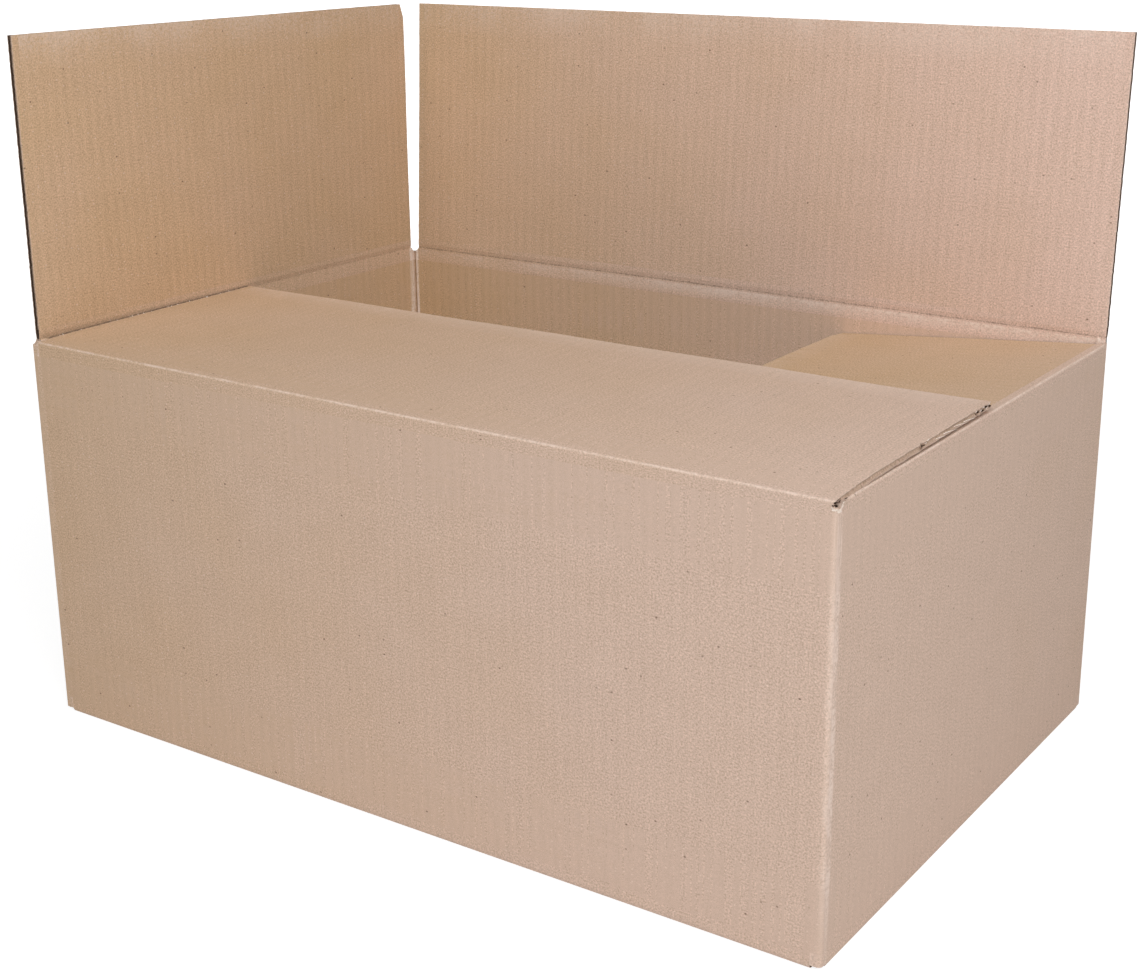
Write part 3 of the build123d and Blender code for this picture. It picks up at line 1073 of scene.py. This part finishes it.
def make_flute_group():
    """Faint, broken stripes where the face sheet is glued to the flute tips."""
    n, given, result = start_group("flute_marks", ("Stripe",), "Phase")
    parts = n.new("ShaderNodeSeparateXYZ")
    n.link(given["Sheet Place"], parts.inputs[0])
    turns = n.math("MULTIPLY", parts.outputs[0], 2 * math.pi / flute_pitch)
    turns = n.math("ADD", turns, given["Phase"])
    wave = n.math("COSINE", turns)
    # Each stripe has a noise of its own, which changes only along the stripe
    counted = n.math("ROUND", n.math("DIVIDE", turns, 2 * math.pi))
    spot = n.new("ShaderNodeCombineXYZ")
    n.link(n.math("MULTIPLY", counted, 3.7), spot.inputs[0])
    n.link(n.math("MULTIPLY", parts.outputs[1], 55.0), spot.inputs[1])
    uneven = n.noise(spot.outputs[0], 1.0, detail=3.0, roughness=0.65)
    strength = n.range(uneven, 0.35, 0.7, 0.1, 1.2)
    n.link(n.math("MULTIPLY", wave, strength), result["Stripe"])
    return n.tree


def make_wear_and_shade_group():
    """Pale fibres where the board is rubbed, with painted light in places, and dark cracks
    and painted shade where the wear value is negative.
    """
    n, given, result = start_group("crease_wear_and_shade", ("Mask", "Crack_And_Shade"), "Worn_And_Shaded")
    place = given["Sheet Place"]
    breaks = n.noise(place, 520.0, detail=2.0, roughness=0.7)
    patches = n.noise(place, 45.0, detail=1.0)
    level = n.math("ADD", breaks, n.centred(patches, 0.6))
    broken = n.range(level, 0.36, 0.66, 0.15, 1.0)
    n.link(n.math("MULTIPLY", given["Worn_And_Shaded"], broken, clamp=True), result["Mask"])
    open_line = n.math("SUBTRACT", n.centred(breaks, 1.0), given["Worn_And_Shaded"])
    n.link(n.range(open_line, 0.25, 1.2), result["Crack_And_Shade"])
    return n.tree


def srgb(red, green, blue):
    """A display colour of 0 to 255 as the linear colour that a socket takes."""
    levels = [v / 255 for v in (red, green, blue)]
    linear = [v / 12.92 if v <= 0.04045 else ((v + 0.055) / 1.055) ** 2.4 for v in levels]
    return (*linear, 1.0)


groups = {
    "fibres": make_fibre_group(),
    "flecks": make_fleck_group(),
    "flutes": make_flute_group(),
    "wear_and_shade": make_wear_and_shade_group(),
}


def make_kraft(name, warm_and_shaded, cool_and_lit, pale, shade, stripe=0.0, phase=0.0, fleck=1.0):
    """Kraft paper: fibres, flecks, flute stripes, worn creases, and painted light and shade.

    warm and cool are the shaded and the lit end of its tone, which mix as painted
    light and shade and with the paper's random tint, and pale is its rubbed fibre. shade
    is the strength of its grain, stripe and phase that of the flute marks and
    where they lie, and fleck the strength of its flecks.
    """
    tone_and_light_limits = (-0.6, 1.1)
    dark_grain, light_grain = (0.72, 0.70, 0.66, 1.0), (1.28, 1.30, 1.34, 1.0)
    fleck_colour, crack_and_shade_colour = srgb(96, 72, 52), srgb(50, 32, 19)
    material = bpy.data.materials.new(name)
    material.use_nodes = True
    material.node_tree.nodes.clear()
    n = Nodes(material.node_tree)
    out = n.new("ShaderNodeOutputMaterial")
    shader = n.new("ShaderNodeBsdfPrincipled")
    n.link(shader.outputs[0], out.inputs["Surface"])
    shader.inputs["Specular IOR Level"].default_value = 0.25
    place = n.new("ShaderNodeAttribute", attribute_name="sheet_place").outputs["Vector"]
    worn_and_shaded = n.new("ShaderNodeAttribute", attribute_name="worn_and_shaded").outputs["Fac"]
    placed = {}
    for key, group in groups.items():
        placed[key] = n.new("ShaderNodeGroup", node_tree=group)
        n.link(place, placed[key].inputs["Sheet Place"])
    fibres, flecks = placed["fibres"].outputs, placed["flecks"].outputs
    flutes, wear_and_shade = placed["flutes"], placed["wear_and_shade"]
    flutes.inputs["Phase"].default_value = phase
    n.link(worn_and_shaded, wear_and_shade.inputs["Worn_And_Shaded"])
    # Painted light and shade: the cool end of the tone is the lit colour, the warm end the
    # shaded one, with the random tint added
    lit_side = n.new("ShaderNodeAttribute", attribute_name="cool_and_lit").outputs["Fac"]
    share = n.math("MAXIMUM", n.math("ADD", lit_side, fibres["Tint"]), tone_and_light_limits[0])
    share = n.math("MINIMUM", share, tone_and_light_limits[1])
    tone_and_light = n.mix_colour(share, warm_and_shaded, cool_and_lit, clamp_factor=False)
    grain = n.math("MULTIPLY_ADD", fibres["Shade"], shade, 0.5)
    grain = n.math("MULTIPLY_ADD", flutes.outputs["Stripe"], stripe, grain, clamp=True)
    depth = n.mix_colour(grain, dark_grain, light_grain)
    colour = n.mix_colour(1.0, tone_and_light, depth, blend_type="MULTIPLY")
    for mask, strength, added in (
        (flecks["Dark"], 0.8 * fleck, fleck_colour),
        (flecks["Pale"], 0.5 * fleck, pale),
        (wear_and_shade.outputs["Mask"], 0.8, pale),
        # Cracks, and painted shade in holes, fold mouths and creases
        (wear_and_shade.outputs["Crack_And_Shade"], 0.97, crack_and_shade_colour),
    ):
        colour = n.mix_colour(n.math("MULTIPLY", mask, strength), colour, added)
    n.link(colour, shader.inputs["Base Color"])
    rough = n.range(fibres["Height"], 0.2, 0.8, 0.92, 0.8)
    n.link(rough, shader.inputs["Roughness"])
    relief = n.new("ShaderNodeBump")
    relief.inputs["Strength"].default_value = 0.5
    relief.inputs["Distance"].default_value = 0.05 * mm
    n.link(n.math("ADD", fibres["Height"], wear_and_shade.outputs["Mask"]), relief.inputs["Height"])
    n.link(relief.outputs["Normal"], shader.inputs["Normal"])
    return material


# One material for each finish, in the order of the finishes
kraft = [
    make_kraft(
        "outside_kraft",
        warm_and_shaded=srgb(197, 168, 141),
        cool_and_lit=srgb(203, 177, 159),
        pale=srgb(231, 211, 198),
        shade=2.2,
        stripe=0.04,
    ),
    make_kraft(
        "inside_kraft",
        warm_and_shaded=srgb(203, 172, 143),
        cool_and_lit=srgb(211, 182, 165),
        pale=srgb(231, 213, 200),
        shade=2.3,
        stripe=0.07,
        phase=math.pi,
    ),
    make_kraft(
        "cut_kraft",
        warm_and_shaded=srgb(180, 154, 133),
        cool_and_lit=srgb(182, 157, 140),
        pale=srgb(222, 204, 190),
        shade=3.2,
        fleck=0.4,
    ),
    make_kraft(
        "flute_kraft",
        warm_and_shaded=srgb(184, 156, 133),
        cool_and_lit=srgb(186, 159, 139),
        pale=srgb(212, 190, 170),
        shade=3.0,
        fleck=0.8,
    ),
    make_kraft(
        "torn_kraft",
        warm_and_shaded=srgb(232, 217, 203),
        cool_and_lit=srgb(236, 223, 212),
        pale=srgb(244, 236, 228),
        shade=1.8,
        fleck=0.0,
    ),
    # Dark board that paints the shade in cut ends, fold mouths, holes and gaps
    make_kraft(
        "painted_shade_kraft",
        warm_and_shaded=srgb(84, 66, 55),
        cool_and_lit=srgb(88, 70, 60),
        pale=srgb(120, 98, 84),
        shade=2.0,
        fleck=0.0,
    ),
]

walls = make_walls(kraft)
corners = make_corners(kraft)
lap = make_lap(kraft)
bottom_flaps = [make_bottom(wall, kraft) for wall in ("front", "back", "left", "right")]
right_crease = make_crease("right", kraft)
right_flap = make_flap("right", kraft)
for piece in [walls, corners, lap, right_crease, right_flap, *bottom_flaps]:
    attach(piece, "carton")
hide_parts("carton_body")

for wall in ("front", "back", "left"):
    flap = make_flap(wall, kraft)
    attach(flap, f"{wall}_flap")
    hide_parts(f"{wall}_top_flap")
    crease = make_crease(wall, kraft)
    turn = math.radians(flap_turn[wall])
    end_inwards = blend_reach * math.sin(turn)
    end_height = crease_height + blend_reach * math.cos(turn)
    start = on_wall(wall, 0.0, 0.0, crease_height - blend_reach)
    end = on_wall(wall, 0.0, end_inwards, end_height)
    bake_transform(crease)


def camera_like(n):
    """One for the rays that show the stage itself, zero for those that light."""
    rays = n.new("ShaderNodeLightPath")
    seen = n.math("MAXIMUM", rays.outputs["Is Camera Ray"], rays.outputs["Is Glossy Ray"])
    return n.math("MAXIMUM", seen, rays.outputs["Is Transmission Ray"])


def make_stage():
    """A plain white floor that keeps the box's shadow, in a white room."""
    size = 30.0
    low = -0.3 * mm
    paint_white = (0.9, 0.9, 0.9, 1.0)
    # How bright floor and room look. The room lights the box far less.
    floor_glow = 1.33
    room_light = 0.07
    # The floor shows this share of its glow near the box and the rest as lit
    # paint with the shadow, which fades out between the two distances
    near_share = 0.66
    near, far = 0.4, 1.6
    mesh = bpy.data.meshes.new("floor")
    mesh.from_pydata(
        [(-size, -size, low), (size, -size, low), (size, size, low), (-size, size, low)],
        [],
        [(0, 1, 2, 3)],
    )
    floor = bpy.data.objects.new("floor", mesh)
    bpy.context.scene.collection.objects.link(floor)
    material = bpy.data.materials.new("white_floor")
    material.use_nodes = True
    material.node_tree.nodes.clear()
    n = Nodes(material.node_tree)
    out = n.new("ShaderNodeOutputMaterial")
    paint = n.new("ShaderNodeBsdfPrincipled")
    paint.inputs["Base Color"].default_value = paint_white
    paint.inputs["Roughness"].default_value = 0.9
    glow = n.new("ShaderNodeEmission")
    glow.inputs["Strength"].default_value = floor_glow
    place = n.new("ShaderNodeTexCoord").outputs["Object"]
    distance = n.new("ShaderNodeVectorMath", operation="LENGTH")
    n.link(place, distance.inputs[0])
    lit = n.range(distance.outputs["Value"], near, far, near_share, 1.0)
    mixed = n.new("ShaderNodeMixShader")
    n.link(n.math("MULTIPLY", camera_like(n), lit), mixed.inputs[0])
    n.link(paint.outputs[0], mixed.inputs[1])
    n.link(glow.outputs[0], mixed.inputs[2])
    n.link(mixed.outputs[0], out.inputs["Surface"])
    mesh.materials.append(material)
    world = bpy.data.worlds.new("studio")
    bpy.context.scene.world = world
    world.use_nodes = True
    world.node_tree.nodes.clear()
    n = Nodes(world.node_tree)
    out = n.new("ShaderNodeOutputWorld")
    room = n.new("ShaderNodeBackground")
    strength = n.math("MULTIPLY_ADD", camera_like(n), 1.0 - room_light, room_light)
    n.link(strength, room.inputs["Strength"])
    room.inputs["Color"].default_value = (1.0, 1.0, 1.0, 1.0)
    n.link(room.outputs[0], out.inputs["Surface"])


def add_softbox(name, place, aim, size, power):
    """A soft lamp of a size in metres and a power in watts, aimed at a point."""
    lamp = bpy.data.lights.new(name, "AREA")
    lamp.shape = "RECTANGLE"
    lamp.size, lamp.size_y = size
    lamp.energy = power
    holder = bpy.data.objects.new(name, lamp)
    holder.location = place
    direction = Vector(aim) - Vector(place)
    holder.rotation_mode = "QUATERNION"
    holder.rotation_quaternion = direction.to_track_quat("-Z", "Y")
    bpy.context.scene.collection.objects.link(holder)


def make_lights():
    """A key lamp high at the front right, with weaker ones in front and above."""
    add_softbox("key", (1.2, -0.8, 1.25), (0.05, 0.0, 0.12), (0.9, 0.9), 19.8)
    add_softbox("front", (-0.05, -1.75, 1.45), (-0.04, 0.0, 0.14), (1.1, 0.9), 14.3)
    add_softbox("top", (0.45, -0.1, 1.7), (0.15, -0.05, 0.1), (1.0, 1.0), 4.9)


def make_camera():
    """The camera at the angle from which the box is shown."""
    # Picture, focal length and centre of the view, in pixels of that picture
    frame_width = 1144.0
    frame_height = 976.0
    focal = 1819.1
    centre = (613.0, 439.0)
    place = Vector((509.9, -728.6, 419.0)) * mm
    forward = Vector((-0.5299, 0.7971, -0.2897)).normalized()
    roll = math.radians(-0.138)
    side = forward.cross(Vector((0, 0, 1))).normalized()
    up = side.cross(forward)
    turned_side = side * math.cos(roll) + up * math.sin(roll)
    turned_up = up * math.cos(roll) - side * math.sin(roll)
    data = bpy.data.cameras.new("camera")
    data.sensor_width = 36.0
    data.lens = data.sensor_width * focal / frame_width
    data.shift_x = (frame_width / 2 - centre[0]) / frame_width
    data.shift_y = (centre[1] - frame_height / 2) / frame_width
    camera = bpy.data.objects.new("camera", data)
    turn = Matrix((turned_side, turned_up, -forward)).transposed()
    camera.matrix_world = Matrix.Translation(place) @ turn.to_4x4()
    bpy.context.scene.collection.objects.link(camera)
    bpy.context.scene.camera = camera


make_stage()
make_lights()
make_camera()
bpy.context.scene.view_settings.view_transform = "Standard"
